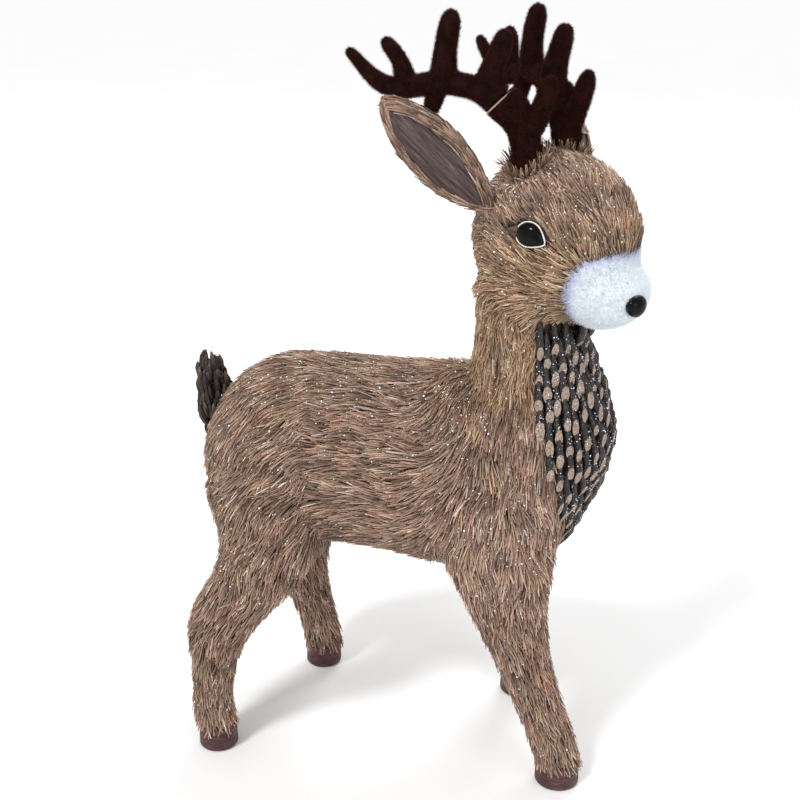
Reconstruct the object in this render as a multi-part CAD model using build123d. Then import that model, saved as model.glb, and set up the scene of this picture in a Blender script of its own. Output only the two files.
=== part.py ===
from build123d import *
import math
import os

# A standing straw deer: foam cores on steel leg rods, wrapped in glued straw, with plug-on antlers.
# Millimetres. The deer faces +X, its left side is +Y, and +Z is up with the soles at Z = 0.
# Every place below is given from the middle of the body; the last step moves the whole deer so
# that the origin is at the bottom centre of its box.

# ---- driving dimensions -------------------------------------------------------------------
STRAW = 8.0                 # thickness of the glued straw layer on the foam
TWIG_LAYER = 1.0            # air between the chest and the twigs glued in front of it

HEAD_CENTRE = (112.0, 0.0, 427.0)
HEAD_YAW = -28.0            # the head looks to the deer's right
HEAD_HALF = (64.0, 52.0, 62.0)

HOOF_HEIGHT = 20.0
HOOF_EDGE = 3.0             # rounding round the sole
ROD_RADIUS = 2.0
ROD_FOOT = 6.0              # height of the rod's lower end inside the hoof
ROD_TOP = 236.0
DOWEL_RADIUS = 6.0

MUZZLE_CENTRE = (42.0, 0.0, -31.5)
MUZZLE_HALF = (34.0, 33.0, 27.0)
NOSE_CENTRE = (75.0, 0.0, -37.0)
NOSE_HALF = (6.5, 8.6, 7.8)

EYE_RADIUS = 9.0
EYE_RIM_RADIUS = 10.6
EYE_RIM_DEPTH = 5.0
EYE_PLACE = (11.0, 50.0, 10.5)      # forward, sideways and up from the head's centre
EYE_CORNER = (9.0, 5.0, 3.0)       # half length, half height and depth of the bark corner

EAR_WIDTH = 44.0
EAR_CUP = 38.0              # radius of the cupped ear
EAR_HUSK = 1.2
EAR_BACK = 3.5
EAR_WIRE = 1.2
EAR_ROOT = (-27.0, 41.0, 25.0)

SOCKET_RADIUS = 6.05
PEG_RADIUS = 6.0
SOCKET_DEPTH = 17.0
PEG_LENGTH = 16.0

TWIG_RADIUS = 2.4
TWIG_LENGTH = 17.0
TWIG_TURN = 7.2             # spacing of the bib twigs round the neck, in degrees
ROW_PITCH = 15.5            # vertical spacing of the bib rows
ROW_COUNT = 11
BIB_TOP = 348.0
BIB_AXIS_X = 95.0           # the upright line that the bib is wrapped round
# The bib's outline, a shield: height, and degrees that it reaches round from the front.
BIB_REACH = [(188.0, 4.0), (198.0, 27.0), (226.0, 52.0), (249.0, 63.0), (309.0, 75.0), (368.0, 76.0)]

# Stations of each foam and straw form: place of the section's centre and its two half axes.
# The torso runs back to front: x, z, half height, half width.
TORSO = [
    (-167.0, 232.0, 14.0, 12.0),
    (-159.0, 234.0, 36.0, 31.0),
    (-141.0, 238.0, 58.0, 50.0),
    (-112.0, 243.0, 72.0, 63.0),
    (-60.0, 245.0, 76.0, 67.0),
    (0.0, 243.0, 78.0, 68.0),
    (60.0, 241.0, 83.0, 69.0),
    (104.0, 244.0, 77.0, 62.0),
    (133.0, 252.0, 54.0, 46.0),
    (151.0, 258.0, 24.0, 22.0),
]
# The neck runs upwards: z, x, half length, half width.
NECK = [
    (236.0, 89.0, 60.0, 57.0),
    (270.0, 98.5, 62.0, 56.0),
    (305.0, 101.0, 54.0, 48.0),
    (345.0, 96.5, 42.0, 42.0),
    (395.0, 98.0, 44.0, 41.0),
]
# A leg runs upwards from the hoof: z, x, y, half length, half width.
LEGS = {
    "front_right": [
        (20.0, 137.0, -59.0, 17.0, 16.5),
        (60.0, 124.0, -60.0, 18.0, 17.5),
        (106.0, 107.0, -61.0, 21.0, 19.5),
        (150.0, 93.0, -60.0, 30.0, 24.0),
        (195.0, 83.0, -55.0, 43.0, 27.0),
        (245.0, 76.0, -44.0, 48.0, 28.0),
    ],
    "front_left": [
        (20.0, 87.0, 65.0, 16.5, 16.0),
        (60.0, 84.0, 64.0, 17.5, 17.0),
        (106.0, 80.0, 63.0, 20.0, 19.0),
        (150.0, 78.0, 61.0, 30.0, 24.0),
        (195.0, 76.0, 55.0, 42.0, 27.0),
        (245.0, 74.0, 44.0, 48.0, 28.0),
    ],
    "hind_right": [
        (20.0, -144.0, -76.0, 15.5, 15.5),
        (50.0, -147.0, -75.0, 15.5, 16.0),
        (78.0, -145.0, -73.0, 18.5, 18.0),
        (106.0, -139.0, -70.0, 26.0, 21.0),
        (145.0, -115.0, -64.0, 35.0, 25.0),
        (190.0, -101.5, -54.0, 39.5, 28.0),
        (240.0, -94.0, -40.0, 40.0, 28.0),
    ],
    "hind_left": [
        (20.0, -97.0, 70.0, 15.5, 15.5),
        (50.0, -103.0, 70.0, 16.5, 16.0),
        (78.0, -111.0, 69.0, 19.0, 17.5),
        (106.0, -116.0, 67.0, 24.0, 20.0),
        (145.0, -114.0, 63.0, 34.0, 25.0),
        (190.0, -103.0, 54.0, 40.0, 28.0),
        (240.0, -94.0, 40.0, 40.0, 28.0),
    ],
}

# One antler, on the left side, in the head's frame: forward, sideways, up and radius.
SOCKET_ROOT = (-15.0, 25.0, 82.0)
SOCKET_RIM = (-30.0, 33.0, 100.0)
STUB = [(-11.0, 24.0, 40.0, 6.0), (-11.0, 24.0, 56.0, 10.5), (-13.0, 25.0, 72.0, 10.5),
        (-17.0, 26.5, 84.5, 11.0), (-31.5, 33.8, 101.8, 13.0)]
BROW_TINE = [(-14.0, 25.0, 74.0, 8.0), (-5.0, 23.5, 88.0, 8.0), (2.0, 22.5, 103.0, 7.0),
             (5.5, 22.5, 114.0, 5.2), (6.5, 22.5, 119.0, 2.2)]
BEAM = [(-30.0, 33.0, 100.0, 11.5), (-40.0, 39.0, 106.0, 9.8), (-52.0, 45.0, 109.5, 8.2),
        (-66.0, 51.0, 111.0, 8.2), (-82.0, 57.0, 109.0, 7.8), (-98.0, 62.0, 106.0, 7.4),
        (-110.0, 67.0, 108.0, 6.6), (-123.0, 71.5, 117.0, 5.2), (-133.0, 74.5, 127.0, 4.2),
        (-138.0, 76.0, 132.0, 2.0)]
TINES = [
    [(-37.0, 38.0, 104.0, 9.6), (-34.0, 38.0, 120.0, 9.0), (-28.0, 36.5, 136.0, 7.6),
     (-25.0, 35.5, 145.0, 5.8), (-24.0, 35.0, 148.5, 2.6)],
    [(-66.0, 51.0, 110.0, 9.2), (-66.5, 51.5, 126.0, 8.6), (-64.0, 51.0, 144.0, 7.6),
     (-61.0, 51.0, 157.0, 5.8), (-60.0, 51.0, 161.0, 2.4)],
    [(-95.0, 61.0, 106.0, 8.0), (-95.5, 63.0, 119.0, 6.8), (-99.0, 68.0, 131.0, 5.6),
     (-103.5, 72.0, 138.5, 4.2), (-105.0, 73.0, 141.0, 2.0)],
    [(-70.0, 52.0, 110.0, 7.0), (-75.0, 52.0, 99.0, 6.4), (-78.0, 52.5, 90.0, 5.0),
     (-79.0, 52.5, 86.0, 2.4)],
]

# Each ear's tip from its root, in the head's frame: forward, outward, up. They are wired, so
# they are not a mirror pair: the right ear stands up and the left one lies lower.
EAR_TIPS = {"right": (-33.0, 80.0, 82.0), "left": (-44.0, 92.0, 36.0)}
EAR_FACING = {"right": (0.88, 0.46, -0.09), "left": (0.80, 0.50, 0.34)}

TAIL_ROOT = (-160.0, 0.0, 251.0)
TAIL_TOP = (-163.7, 0.0, 290.0)
TAIL_CORE_RADIUS = 4.0
# Each ring of tail twigs: height above the root, count, ring radius, twig length and lean in degrees.
TAIL_RINGS = [(0, 8, 9.5, 30.0, 12.0), (21, 8, 7.5, 30.0, 11.0), (42, 6, 5.6, 29.0, 12.0)]
TAIL_TWIG_RADIUS = 2.6

HEAD = Location(HEAD_CENTRE, (0, 0, HEAD_YAW))
BASE = (Align.CENTER, Align.CENTER, Align.MIN)
SIDES = {"right": -1, "left": 1}


# ---- helpers --------------------------------------------------------------------------------
def ellipsoid(centre, half):
    return Pos(*centre) * scale(Sphere(1.0), by=tuple(half))


def rod(start, end, radius):
    along = Vector(*end) - Vector(*start)
    return Plane(origin=start, z_dir=along) * Cylinder(radius, along.length, align=BASE)


def limb(stations):
    """A round tapering branch through stations of x, y, z and radius."""
    places = [Vector(*s[:3]) for s in stations]
    last = len(places) - 1
    sections = []
    for i, station in enumerate(stations):
        along = places[min(i + 1, last)] - places[max(i - 1, 0)]
        side = along.cross(Vector(0, 1, 0.2))
        sections.append(Plane(origin=places[i], x_dir=side, z_dir=along) * Circle(station[3]))
    return loft(sections)


def torso(inset):
    """The barrel of the body, drawn in by inset all round."""
    shrink = 1 - inset / 170.0
    sections = []
    for x, z, half_height, half_width in TORSO:
        place = Plane(origin=(x * shrink, 0, z), x_dir=(0, 1, 0), z_dir=(1, 0, 0))
        trim = min(inset, 0.6 * half_width)
        sections.append(place * Ellipse(half_width - trim, half_height - trim))
    return loft(sections)


def neck(inset):
    sections = []
    for z, x, half_length, half_width in NECK:
        sections.append(Pos(x, 0, z) * Ellipse(half_length - inset, half_width - inset))
    return loft(sections)


def skull(inset):
    return HEAD * ellipsoid((0, 0, 0), [half - inset for half in HEAD_HALF])


def leg(stations, inset):
    sections = []
    for z, x, y, half_length, half_width in stations:
        sections.append(Pos(x, y, z) * Ellipse(half_length - inset, half_width - inset))
    return loft(sections)


def leg_rod(stations):
    """A bent steel rod down the middle of the leg, from inside the hoof to inside the torso."""
    places = [(stations[0][1], stations[0][2], ROD_FOOT, ROD_RADIUS)]
    places += [(x, y, z, ROD_RADIUS) for z, x, y, _, _ in stations[:-1]]
    places.append((stations[-1][1], stations[-1][2], ROD_TOP, ROD_RADIUS))
    return limb(places)


def hoof(stations):
    _, x, y, half_length, half_width = stations[0]
    sole = Ellipse(half_length + 0.5, half_width + 0.5)
    top = Pos(0, 0, HOOF_HEIGHT) * Ellipse(half_length, half_width)
    block = loft([sole, top])
    block = fillet(block.edges().sort_by(Axis.Z)[0], HOOF_EDGE)
    return Pos(x, y, 0) * block


def chest_place(forms, turn, z):
    """The centre of a twig that stands off whichever form is furthest out, turn degrees round from
    the front of the neck."""
    out = Vector(math.cos(math.radians(turn)), math.sin(math.radians(turn)), 0)
    middle = Vector(BIB_AXIS_X, 0, z)
    line = Axis(tuple(middle + out * 300), tuple(-out))
    hits = [hit for form in forms for hit in form.find_intersection_points(line)]
    place, normal = max(hits, key=lambda hit: (hit[0] - middle).dot(out))
    outward = normal if normal.dot(out) > 0 else -normal
    return place + outward.normalized() * (TWIG_RADIUS + TWIG_LAYER)


def bib_reach(z):
    """How far round from the front the bib reaches at height z, in degrees."""
    for (low, turn_low), (high, turn_high) in zip(BIB_REACH, BIB_REACH[1:]):
        if z < high:
            return turn_low + (turn_high - turn_low) * (z - low) / (high - low)
    return BIB_REACH[-1][1]


def bib_twigs(forms):
    twigs = []
    columns = int(BIB_REACH[-1][1] / TWIG_TURN)
    for row in range(ROW_COUNT):
        z = BIB_TOP - ROW_PITCH * row
        shift = 0.5 if row % 2 else 0.0
        for column in range(-columns, columns + 1):
            turn = (column + shift) * TWIG_TURN
            if abs(turn) > bib_reach(z):
                continue
            top = chest_place(forms, turn, z + TWIG_LENGTH / 2)
            bottom = chest_place(forms, turn, z - TWIG_LENGTH / 2)
            along = (bottom - top).normalized() * (TWIG_LENGTH - 2.6)
            twigs.append(rod(tuple(top), tuple(top + along), TWIG_RADIUS))
    return twigs


def tail_twigs():
    twigs = []
    for rise, count, ring, length, lean in TAIL_RINGS:
        for i in range(count):
            turn = math.radians(360 * i / count + rise * 4)
            out = Vector(math.cos(turn), math.sin(turn), 0)
            start = Vector(*TAIL_ROOT) + Vector(-0.1 * rise, 0, rise) + out * ring
            end = start + out * length * math.sin(math.radians(lean)) + Vector(0, 0, length)
            twigs.append(rod(tuple(start), tuple(end), TAIL_TWIG_RADIUS))
    return twigs


def antler_base():
    rim = Vector(*SOCKET_RIM)
    inward = (Vector(*SOCKET_ROOT) - rim).normalized()
    stub = split(limb(STUB), bisect_by=Plane(origin=rim, z_dir=inward), keep=Keep.TOP)
    bore = rod(tuple(rim + inward * SOCKET_DEPTH), tuple(rim - inward), SOCKET_RADIUS)
    return stub + limb(BROW_TINE) - bore


def antler_beam():
    beam = limb(BEAM)
    for tine in TINES:
        beam += limb(tine)
    rim = Vector(*SOCKET_RIM)
    inward = (Vector(*SOCKET_ROOT) - rim).normalized()
    beam = split(beam, bisect_by=Plane(origin=rim, z_dir=-inward), keep=Keep.TOP)
    return beam + rod(tuple(rim + inward * PEG_LENGTH), tuple(rim - inward * 2), PEG_RADIUS)


def on_side(shape, side):
    """A shape drawn on the head's left, put on the side asked for and into the body's frame."""
    if side == "right":
        shape = mirror(shape, about=Plane.XZ)
    return HEAD * shape


def eye_frame():
    x, y, z = EYE_PLACE
    a, b, c = HEAD_HALF
    outward = Vector(x / a ** 2, y / b ** 2, z / c ** 2).normalized()
    return Plane(origin=(x, y, z), x_dir=outward.cross(Vector(0, 0, 1)), z_dir=outward)


def eye():
    return eye_frame() * Pos(0, 0, -4.0) * Sphere(EYE_RADIUS)


def eye_rim():
    disc = Cylinder(EYE_RIM_RADIUS, EYE_RIM_DEPTH, align=(Align.CENTER, Align.CENTER, Align.MAX))
    return eye_frame() * Pos(0, 0, 0.8) * disc - eye()


def eye_corner():
    """A leaf of bark that fills the eye's rear corner."""
    length, height, depth = EYE_CORNER
    leaf = extrude(Ellipse(length, height), amount=depth)
    return eye_frame() * Pos(-EYE_RIM_RADIUS, -1.0, -2.0) * leaf - eye_rim() - eye()


def ear_frame(side):
    tip = Vector(*EAR_TIPS[side])
    facing = Vector(*EAR_FACING[side])
    return Plane(origin=EAR_ROOT, x_dir=tip, z_dir=facing - tip.normalized() * facing.dot(tip.normalized()))


def ear_leaf(length, width, inner, outer):
    """A cupped leaf: its outline pressed out of a round trough along the ear."""
    edge = ThreePointArc((0, 0), (0.42 * length, width / 2), (length, 0))
    other = ThreePointArc((length, 0), (0.42 * length, -width / 2), (0, 0))
    outline = extrude(make_face([edge, other]), amount=60, both=True)
    trough = Cylinder(outer, 2 * length) - Cylinder(inner, 2 * length)
    trough = Pos(0, 0, EAR_CUP) * Rot(0, 90, 0) * trough
    below = Pos(0, 0, EAR_CUP - 100) * Box(4 * length, 200, 200)
    return outline & trough & below


def ear(side):
    frame = ear_frame(side)
    length = Vector(*EAR_TIPS[side]).length
    husk = ear_leaf(length - 8, EAR_WIDTH - 8, EAR_CUP - EAR_HUSK, EAR_CUP)
    back = ear_leaf(length, EAR_WIDTH, EAR_CUP, EAR_CUP + EAR_BACK)
    wire = Pos(0, 0, -EAR_BACK / 2) * rod((-20, 0, 0), (0.7 * length, 0, 0), EAR_WIRE)
    return frame * Pos(4, 0, 0) * husk, frame * back, frame * wire


# ---- assembly -------------------------------------------------------------------------------
parts = {}
outer_torso, outer_neck, outer_head = torso(0), neck(0), skull(0)
torso_foam, neck_fill, head_foam = torso(STRAW), neck(STRAW), skull(STRAW)
neck_foam = neck_fill - torso_foam - head_foam
dowel = rod((92, 0, 236), (108, 0, 440), DOWEL_RADIUS)

torso_core = torso_foam - dowel
torso_straw = outer_torso - neck_fill
for name, stations in LEGS.items():
    fill = leg(stations, STRAW)
    bent_rod = leg_rod(stations)
    torso_core -= bent_rod
    torso_straw -= fill
    parts[f"{name}_leg_rod"] = bent_rod
    parts[f"{name}_leg_core"] = fill - torso_foam - bent_rod
    parts[f"{name}_leg_straw"] = leg(stations, 0) - outer_torso - fill
    parts[f"{name}_hoof"] = hoof(stations) - bent_rod
torso_straw -= torso_foam

head_core = head_foam - dowel
head_straw = outer_head - neck_fill - head_foam
muzzle = HEAD * ellipsoid(MUZZLE_CENTRE, MUZZLE_HALF) - outer_head - outer_neck
nose = HEAD * ellipsoid(NOSE_CENTRE, NOSE_HALF) - muzzle
neck_straw = outer_neck - outer_torso - outer_head - neck_fill

for side in SIDES:
    base = on_side(antler_base(), side)
    husk, back, wire = [HEAD * (s if side == "left" else mirror(s, about=Plane.XZ)) for s in ear(side)]
    eye_ball, rim, corner = [on_side(s, side) for s in (eye(), eye_rim(), eye_corner())]
    for piece in (base, wire, eye_ball):
        head_core -= piece
    for piece in (base, wire, eye_ball, rim, corner):
        head_straw -= piece
    parts[f"{side}_antler_base"] = base
    parts[f"{side}_antler_beam"] = on_side(antler_beam(), side)
    parts[f"{side}_ear_wire"] = wire
    parts[f"{side}_ear_husk"] = husk - outer_head - wire
    parts[f"{side}_ear_straw"] = back - outer_head - wire
    parts[f"{side}_eye"] = eye_ball
    parts[f"{side}_eye_rim"] = rim
    parts[f"{side}_eye_corner"] = corner

tail_core = rod(TAIL_ROOT, TAIL_TOP, TAIL_CORE_RADIUS)
parts.update(
    torso_core=torso_core, torso_straw=torso_straw, neck_core=neck_foam - dowel, neck_straw=neck_straw,
    neck_dowel=dowel, head_core=head_core, head_straw=head_straw, muzzle=muzzle, nose=nose,
    tail_core=tail_core - outer_torso,
)
outer_forms = [outer_neck, outer_torso] + [leg(LEGS[f"front_{side}"], 0) for side in SIDES]
parts["bib_twigs"] = Compound(children=bib_twigs(outer_forms))
parts["tail_twigs"] = Compound(children=[twig - outer_torso for twig in tail_twigs()])

boxes = [shape.bounding_box() for shape in parts.values()]
low = [min(getattr(box.min, axis) for box in boxes) for axis in "XYZ"]
high = [max(getattr(box.max, axis) for box in boxes) for axis in "XYZ"]
to_origin = Pos(-(low[0] + high[0]) / 2, -(low[1] + high[1]) / 2, -low[2])
print("origin moved by", to_origin.position, "size", [b - a for a, b in zip(low, high)])

os.makedirs("parts", exist_ok=True)
for name, shape in parts.items():
    export_step(to_origin * shape, f"parts/{name}.step")
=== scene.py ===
import itertools
import math

import bmesh
import bpy
import numpy as np
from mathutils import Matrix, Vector
from mathutils.bvhtree import BVHTree


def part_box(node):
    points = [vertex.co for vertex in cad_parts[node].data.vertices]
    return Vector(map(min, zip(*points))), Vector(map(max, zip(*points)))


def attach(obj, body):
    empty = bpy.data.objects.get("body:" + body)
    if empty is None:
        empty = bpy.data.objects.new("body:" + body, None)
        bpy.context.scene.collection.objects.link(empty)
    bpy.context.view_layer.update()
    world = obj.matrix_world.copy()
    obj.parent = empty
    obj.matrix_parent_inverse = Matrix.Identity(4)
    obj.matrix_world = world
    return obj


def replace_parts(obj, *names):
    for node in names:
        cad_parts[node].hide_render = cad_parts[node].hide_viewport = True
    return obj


# The looks of a standing straw deer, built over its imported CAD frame. Geometry is worked out in
# body millimetres: X forward, Y to the deer's left, Z up, soles at 0 and y = 0 mid-body. piece()
# turns that into metres in the row frame.
MM = 0.001
SEED = 2407

# ---- places in body millimetres, and in the head's frame from HEAD_HALF on --------------------
TORSO_BACK = 167.0
HEAD_CENTRE = np.array((112.0, 0.0, 427.0))
HEAD_YAW = math.radians(-28.0)
HEAD_TURN = np.array((
    (math.cos(HEAD_YAW), -math.sin(HEAD_YAW), 0.0),
    (math.sin(HEAD_YAW), math.cos(HEAD_YAW), 0.0),
    (0.0, 0.0, 1.0),
))
HEAD_HALF = np.array((64.0, 52.0, 62.0))
PLUSH_CORNER = 13.0         # radius of the plush's corner between cheek and bridge
NOSE_CENTRE = np.array((74.2, -6.0, -36.5))
NOSE_HALF = np.array((6.5, 9.4, 7.8))
EYE_PLACE = np.array((11.0, 50.0, 12.8))
EYE_HALF_LENGTH = 9.5
EYE_HALF_HEIGHT = 8.3
EYE_RISE = 5.2
EAR_WIDTH = 44.0
EAR_CUP = 38.0
EAR_FRONT_SHARE = {"right": 0.80, "left": 1.15}     # the front half's width over the rear half's
EAR_ROOT = np.array((-27.0, 41.0, 25.0))
EAR_TIPS = {"right": np.array((-33.0, 80.0, 82.0)), "left": np.array((-44.0, 92.0, 36.0))}
EAR_FACING = {"right": np.array((0.88, 0.46, -0.09)), "left": np.array((0.80, 0.50, 0.34))}
SOCKET_ROOT = np.array((-15.0, 25.0, 82.0))
SOCKET_RIM = np.array((-30.0, 33.0, 100.0))
SOCKET_DEPTH = 19.0
SOCKET_CLEAR = 8.5          # no flock grows nearer than this to the socket's axis
LIP_RADIUS = 12.7
# Body millimetres again.
TAIL_ROOT = np.array((-160.0, 0.0, 251.0))
TAIL_TOP = np.array((-163.7, 0.0, 290.0))
BIB_AXIS_X = 95.0
BIB_TOP = 366.0
# The bib's outline, a shield: height, and degrees that it reaches round from the front.
BIB_REACH = [(188.0, 4.0), (198.0, 27.0), (226.0, 52.0), (249.0, 63.0), (309.0, 75.0), (368.0, 76.0)]
# Each leg's axis from the hoof up: z, x, y, half length, half width.
LEGS = {
    "front_right": [(20, 137, -59, 17, 16.5), (60, 124, -60, 18, 17.5), (106, 107, -61, 21, 19.5),
                    (150, 93, -60, 30, 24), (195, 83, -55, 43, 27), (245, 76, -44, 48, 28)],
    "front_left": [(20, 87, 65, 16.5, 16), (60, 84, 64, 17.5, 17), (106, 80, 63, 20, 19),
                   (150, 78, 61, 30, 24), (195, 76, 55, 42, 27), (245, 74, 44, 48, 28)],
    "hind_right": [(20, -144, -76, 15.5, 15.5), (50, -147, -75, 15.5, 16), (78, -145, -73, 18.5, 18),
                   (106, -139, -70, 26, 21), (145, -115, -64, 35, 25), (190, -101.5, -54, 39.5, 28),
                   (240, -94, -40, 40, 28)],
    "hind_left": [(20, -97, 70, 15.5, 15.5), (50, -103, 70, 16.5, 16), (78, -111, 69, 19, 17.5),
                  (106, -116, 67, 24, 20), (145, -114, 63, 34, 25), (190, -103, 54, 40, 28),
                  (240, -94, 40, 40, 28)],
}

# ---- straw ------------------------------------------------------------------------------------
STRAW_SINK = 2.6            # how far below the CAD surface the lowest strands lie
STRAW_LIFT = 3.4            # spread of heights that the strands lie at
TIP_LIFT = 2.4              # how much further a strand's tip may rise
LOWEST_TIP = 12.5           # the straw ends here, over the top of each hoof
LEG_TOP = 185.0             # the legs' pieces of straw end here
NECK_BASE = 290.0           # the neck's pieces of straw start here
ALONG_STRAND = np.array((0.0, 0.36, 0.70, 1.0))     # where a strand's rings are
STRAND_TAPER = np.array((0.85, 1.0, 1.0, 0.62))     # its width at each
UNDER_LAYER_FOOT = 21.0
# Strands per region: count, shortest, longest and width in millimetres.
STRAW_REGIONS = {
    "torso": (36000, 11.0, 22.0, 0.98),
    "neck": (14000, 12.0, 22.0, 0.95),
    "head": (18000, 9.0, 18.0, 0.96),
    "leg": (24500, 9.0, 18.0, 0.92),
}
# How many of the smaller things there are.
EAR_BACK_STRANDS = 2600
EAR_RIM_STRANDS = 1500
TUFT_STRANDS = 360
ANTLER_FIBRES = 22000       # on each of the four antler parts
PLUSH_FIBRES = 21000
STRAW_FLAKES = 8500
BIB_FLAKES = 1700
# Straw colours as red, green, blue from 0 to 1 as seen, with how common each is.
STRAW_COLOURS = [
    ((0.67, 0.56, 0.49), 26),
    ((0.62, 0.50, 0.43), 26),
    ((0.55, 0.43, 0.36), 20),
    ((0.42, 0.31, 0.25), 12),
    ((0.54, 0.38, 0.32), 6),
    ((0.64, 0.56, 0.43), 7),
    ((0.76, 0.70, 0.64), 5),
]

# Bark colours as seen, from creases to wear.
EAR_BARK_TONES = [(0.10, 0.065, 0.065), (0.28, 0.215, 0.215), (0.39, 0.31, 0.31), (0.60, 0.53, 0.51)]
EYE_BARK_TONES = [(0.10, 0.06, 0.05), (0.26, 0.18, 0.14), (0.42, 0.30, 0.24), (0.56, 0.43, 0.36)]


# ---- small maths ------------------------------------------------------------------------------
def unit(vectors):
    vectors = np.asarray(vectors, float)
    return vectors / np.maximum(np.linalg.norm(vectors, axis=-1, keepdims=True), 1e-9)


def smoothstep(low, high, value):
    share = np.clip((value - low) / (high - low), 0.0, 1.0)
    return share * share * (3.0 - 2.0 * share)


def dot(a, b):
    return np.sum(a * b, axis=-1, keepdims=True)


def turn_to_body(directions):
    """Directions from the head's frame, where X is the way that the face looks, to the body's."""
    return np.asarray(directions, float) @ HEAD_TURN.T


def head_to_body(points):
    return turn_to_body(points) + HEAD_CENTRE


def body_to_head(points):
    return (np.asarray(points, float) - HEAD_CENTRE) @ HEAD_TURN


def full_turn(count):
    return np.linspace(0, 2 * np.pi, count, endpoint=False)


def around(turns, first, second):
    """Directions turned by so many radians from first towards second."""
    return np.cos(turns)[..., None] * first + np.sin(turns)[..., None] * second


def linear(colour):
    """A colour as seen, as the renderer's linear values."""
    colour = np.asarray(colour, float)
    return np.where(colour <= 0.04045, colour / 12.92, ((colour + 0.055) / 1.055) ** 2.4)


# ---- meshes -----------------------------------------------------------------------------------
def raw_mesh(name, points, quads, tris):
    """A mesh in metres from points in body millimetres."""
    mesh = bpy.data.meshes.new(name)
    places = np.asarray(points, float) * MM + ORIGIN
    quads = np.asarray(quads, int).reshape(-1, 4)
    tris = np.asarray(tris, int).reshape(-1, 3)
    corners = np.concatenate((quads.ravel(), tris.ravel())).astype(np.int32)
    starts = np.concatenate((np.arange(len(quads)) * 4, 4 * len(quads) + np.arange(len(tris)) * 3))
    mesh.vertices.add(len(places))
    mesh.vertices.foreach_set("co", places.astype(np.float32).ravel())
    mesh.loops.add(len(corners))
    mesh.loops.foreach_set("vertex_index", corners)
    mesh.polygons.add(len(starts))
    mesh.polygons.foreach_set("loop_start", starts.astype(np.int32))
    mesh.update(calc_edges=True)
    return mesh


def placed(name, data):
    """A new object in the scene."""
    obj = bpy.data.objects.new(name, data)
    bpy.context.scene.collection.objects.link(obj)
    return obj


def rider(name, mesh, body):
    """A finished piece that rides on a body."""
    obj = placed(name, mesh)
    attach(obj, body)
    return obj


def piece(name, points, quads, tris, material, slot, body="deer", smooth=True, tints=None):
    """A finished piece from its points and faces. tints holds a linear colour for each point."""
    mesh = raw_mesh(name, points, quads, tris)
    mesh.materials.append(material)
    mesh.polygons.foreach_set("use_smooth", np.full(len(mesh.polygons), smooth))
    if tints is not None:
        layer = mesh.attributes.new("tint", "FLOAT_COLOR", "POINT")
        alpha = np.ones((len(tints), 1))
        layer.data.foreach_set("color", np.hstack((tints, alpha)).astype(np.float32).ravel())
    return rider(name, mesh, body)


def node_arrays(node):
    """A CAD node's points in body millimetres and its triangles."""
    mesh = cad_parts[node].data
    mesh.calc_loop_triangles()
    points = np.empty(3 * len(mesh.vertices))
    mesh.vertices.foreach_get("co", points)
    tris = np.empty(3 * len(mesh.loop_triangles), np.int32)
    mesh.loop_triangles.foreach_get("vertices", tris)
    return (points.reshape(-1, 3) - ORIGIN) / MM, tris.reshape(-1, 3)


def wrapped(nodes, voxel, rounds):
    """One smooth closed surface round several CAD nodes: its points and triangles."""
    points, tris, count = [], [], 0
    for node in nodes:
        node_points, node_tris = node_arrays(node)
        points.append(node_points)
        tris.append(node_tris + count)
        count += len(node_points)
    mesh = raw_mesh("wrap", np.concatenate(points), [], np.concatenate(tris))
    obj = placed("wrap", mesh)
    remesh = obj.modifiers.new("remesh", "REMESH")
    remesh.mode = "VOXEL"
    remesh.voxel_size = voxel * MM
    smooth = obj.modifiers.new("smooth", "SMOOTH")
    smooth.factor = 0.5
    smooth.iterations = rounds
    depsgraph = bpy.context.evaluated_depsgraph_get()
    result = bpy.data.meshes.new_from_object(obj.evaluated_get(depsgraph))
    outer = largest_shell(result)
    bpy.data.objects.remove(obj)
    return outer


def largest_shell(mesh):
    """The points in body millimetres and the triangles of a mesh's largest connected shell."""
    bm = bmesh.new()
    bm.from_mesh(mesh)
    bm.verts.ensure_lookup_table()
    shell = np.full(len(bm.verts), -1)
    shells = 0
    for start in bm.verts:
        if shell[start.index] >= 0:
            continue
        stack = [start]
        shell[start.index] = shells
        while stack:
            for edge in stack.pop().link_edges:
                for vert in edge.verts:
                    if shell[vert.index] < 0:
                        shell[vert.index] = shells
                        stack.append(vert)
        shells += 1
    keep = np.bincount(shell).argmax()
    bmesh.ops.delete(bm, geom=[v for v in bm.verts if shell[v.index] != keep], context="VERTS")
    bmesh.ops.triangulate(bm, faces=bm.faces)
    points = np.array([v.co[:] for v in bm.verts])
    bm.verts.index_update()
    tris = np.array([[v.index for v in f.verts] for f in bm.faces])
    bm.free()
    return (points - ORIGIN) / MM, tris


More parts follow.
